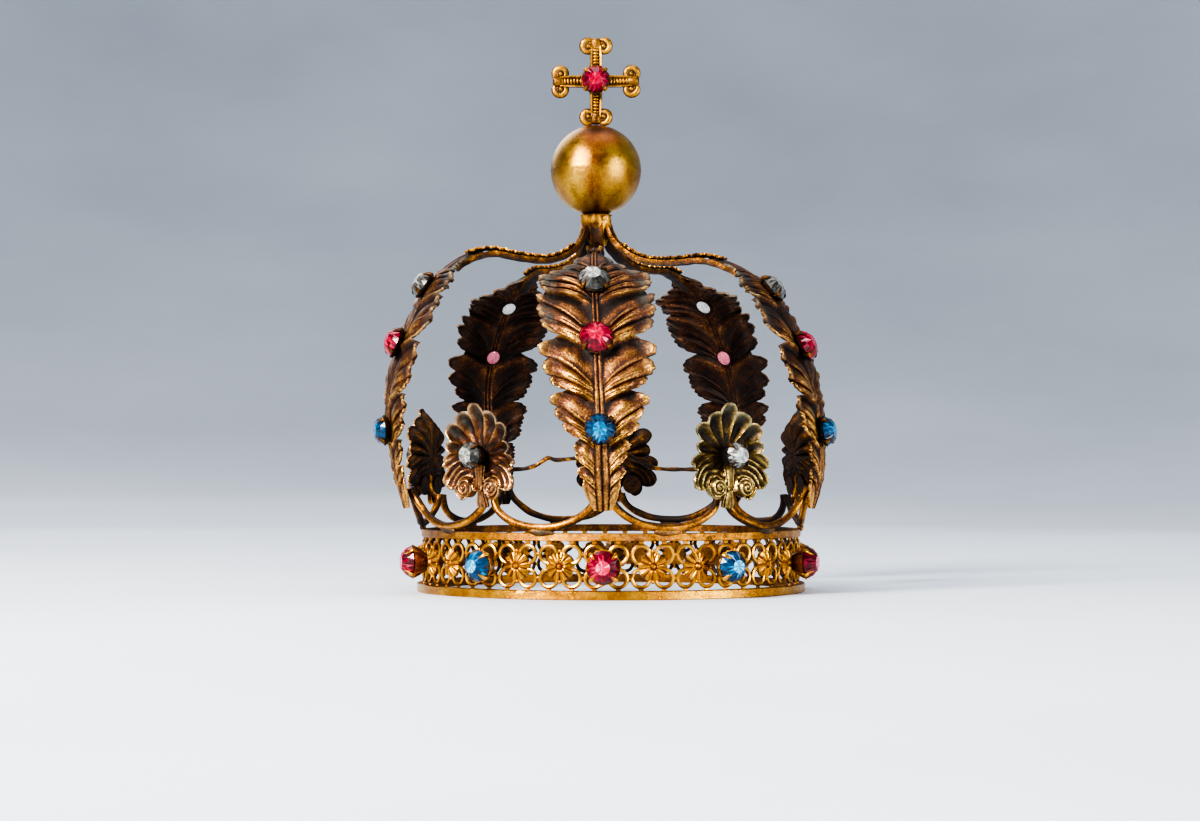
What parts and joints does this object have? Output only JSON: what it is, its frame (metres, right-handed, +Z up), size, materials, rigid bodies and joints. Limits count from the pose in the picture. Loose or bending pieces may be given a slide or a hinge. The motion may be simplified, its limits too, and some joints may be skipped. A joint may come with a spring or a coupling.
{
  "type": "statue crown",
  "caption": "Gilt brass crown for a statue: pierced band, acanthus leaf arches, palmettes, orb and cross, set with cut glass stones.",
  "frame": {"origin": "middle of the whole crown's box, at the underside of the lower rim, which stands on the surface", "axes": "+Z up through the cross, -Y towards the front arch, +X to the right seen from the front"},
  "size_m": [0.1169, 0.118, 0.1435],
  "materials": {
    "gilt_brass": "gilt, satin, lightly worn and scratched",
    "aged_brass": "gilt worn to dark brown in the hollows, with bright raised edges and some verdigris",
    "red_glass": "faceted, foiled behind",
    "blue_glass": "faceted, foiled behind",
    "clear_glass": "faceted, smoky with age, foiled behind"
  },
  "bodies": {
    "root": {"band": "gilt_brass", "arch_front": "aged_brass", "arch_right": "aged_brass", "arch_back_right": "aged_brass", "arch_back_left": "aged_brass", "arch_left": "aged_brass", "palmette_front_right": "aged_brass", "palmette_back_right": "aged_brass", "palmette_back": "aged_brass", "palmette_back_left": "aged_brass", "palmette_front_left": "aged_brass", "festoon_wire_front_left": "aged_brass", "festoon_wire_front_right": "aged_brass", "festoon_wire_right_left": "aged_brass", "festoon_wire_right_right": "aged_brass", "festoon_wire_back_right_left": "aged_brass", "festoon_wire_back_right_right": "aged_brass", "festoon_wire_back_left_left": "aged_brass", "festoon_wire_back_left_right": "aged_brass", "festoon_wire_left_left": "aged_brass", "festoon_wire_left_right": "aged_brass", "neck": "gilt_brass", "orb": "gilt_brass", "cross": "gilt_brass", "tie_wire": "aged_brass", "stone_band_000": "red_glass", "stone_band_036": "blue_glass", "stone_band_072": "red_glass", "stone_band_108": "blue_glass", "stone_band_144": "red_glass", "stone_band_180": "blue_glass", "stone_band_216": "red_glass", "stone_band_252": "blue_glass", "stone_band_288": "red_glass", "stone_band_324": "blue_glass", "stone_arch_front_blue": "blue_glass", "stone_arch_front_red": "red_glass", "stone_arch_front_clear": "clear_glass", "stone_arch_right_blue": "blue_glass", "stone_arch_right_red": "red_glass", "stone_arch_right_clear": "clear_glass", "stone_arch_back_right_blue": "blue_glass", "stone_arch_back_right_red": "red_glass", "stone_arch_back_right_clear": "clear_glass", "stone_arch_back_left_blue": "blue_glass", "stone_arch_back_left_red": "red_glass", "stone_arch_back_left_clear": "clear_glass", "stone_arch_left_blue": "blue_glass", "stone_arch_left_red": "red_glass", "stone_arch_left_clear": "clear_glass", "stone_palmette_front_right": "clear_glass", "stone_palmette_back_right": "clear_glass", "stone_palmette_back": "clear_glass", "stone_palmette_back_left": "clear_glass", "stone_palmette_front_left": "clear_glass", "stone_cross": "red_glass"}
  },
  "joints": []
}
